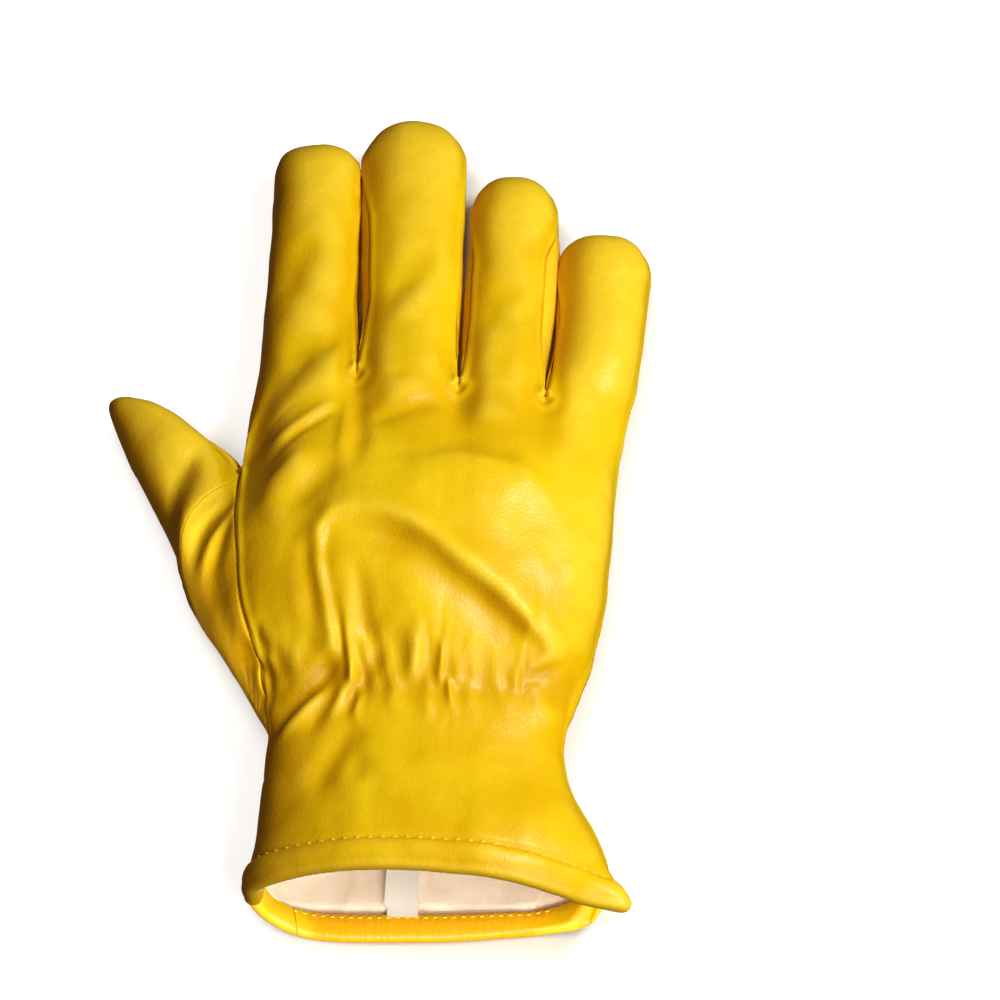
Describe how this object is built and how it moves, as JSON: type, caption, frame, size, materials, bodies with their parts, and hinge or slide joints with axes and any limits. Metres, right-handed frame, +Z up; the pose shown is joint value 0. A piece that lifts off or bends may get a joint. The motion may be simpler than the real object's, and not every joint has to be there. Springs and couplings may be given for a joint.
{
  "type": "lined leather work glove",
  "caption": "Right-hand driver's work glove of smooth yellow leather with a cloth lining, a gathered wrist and a turned, stitched cuff, lying on its palm.",
  "frame": {"origin": "on the table, below the middle of the palm", "axes": "+Z up through the back of the hand, +Y from the cuff to the fingertips, +X towards the little finger, so that the thumb is at -X"},
  "size_m": [0.1645, 0.2694, 0.0426],
  "materials": {
    "grain_leather": "smooth golden-yellow full grain with a soft satin gloss",
    "lining_cloth": "matt cream brushed cotton",
    "label_tape": "bare white woven satin tape",
    "sewing_thread": "yellow twisted polyester thread"
  },
  "bodies": {
    "root": {"back_panel": "grain_leather", "palm_panel": "grain_leather", "thumb": "grain_leather", "middle_front": "grain_leather", "ring_front": "grain_leather", "index_middle_fork": "grain_leather", "middle_ring_fork": "grain_leather", "ring_little_fork": "grain_leather", "lining": "lining_cloth", "label": "label_tape"}
  },
  "joints": []
}
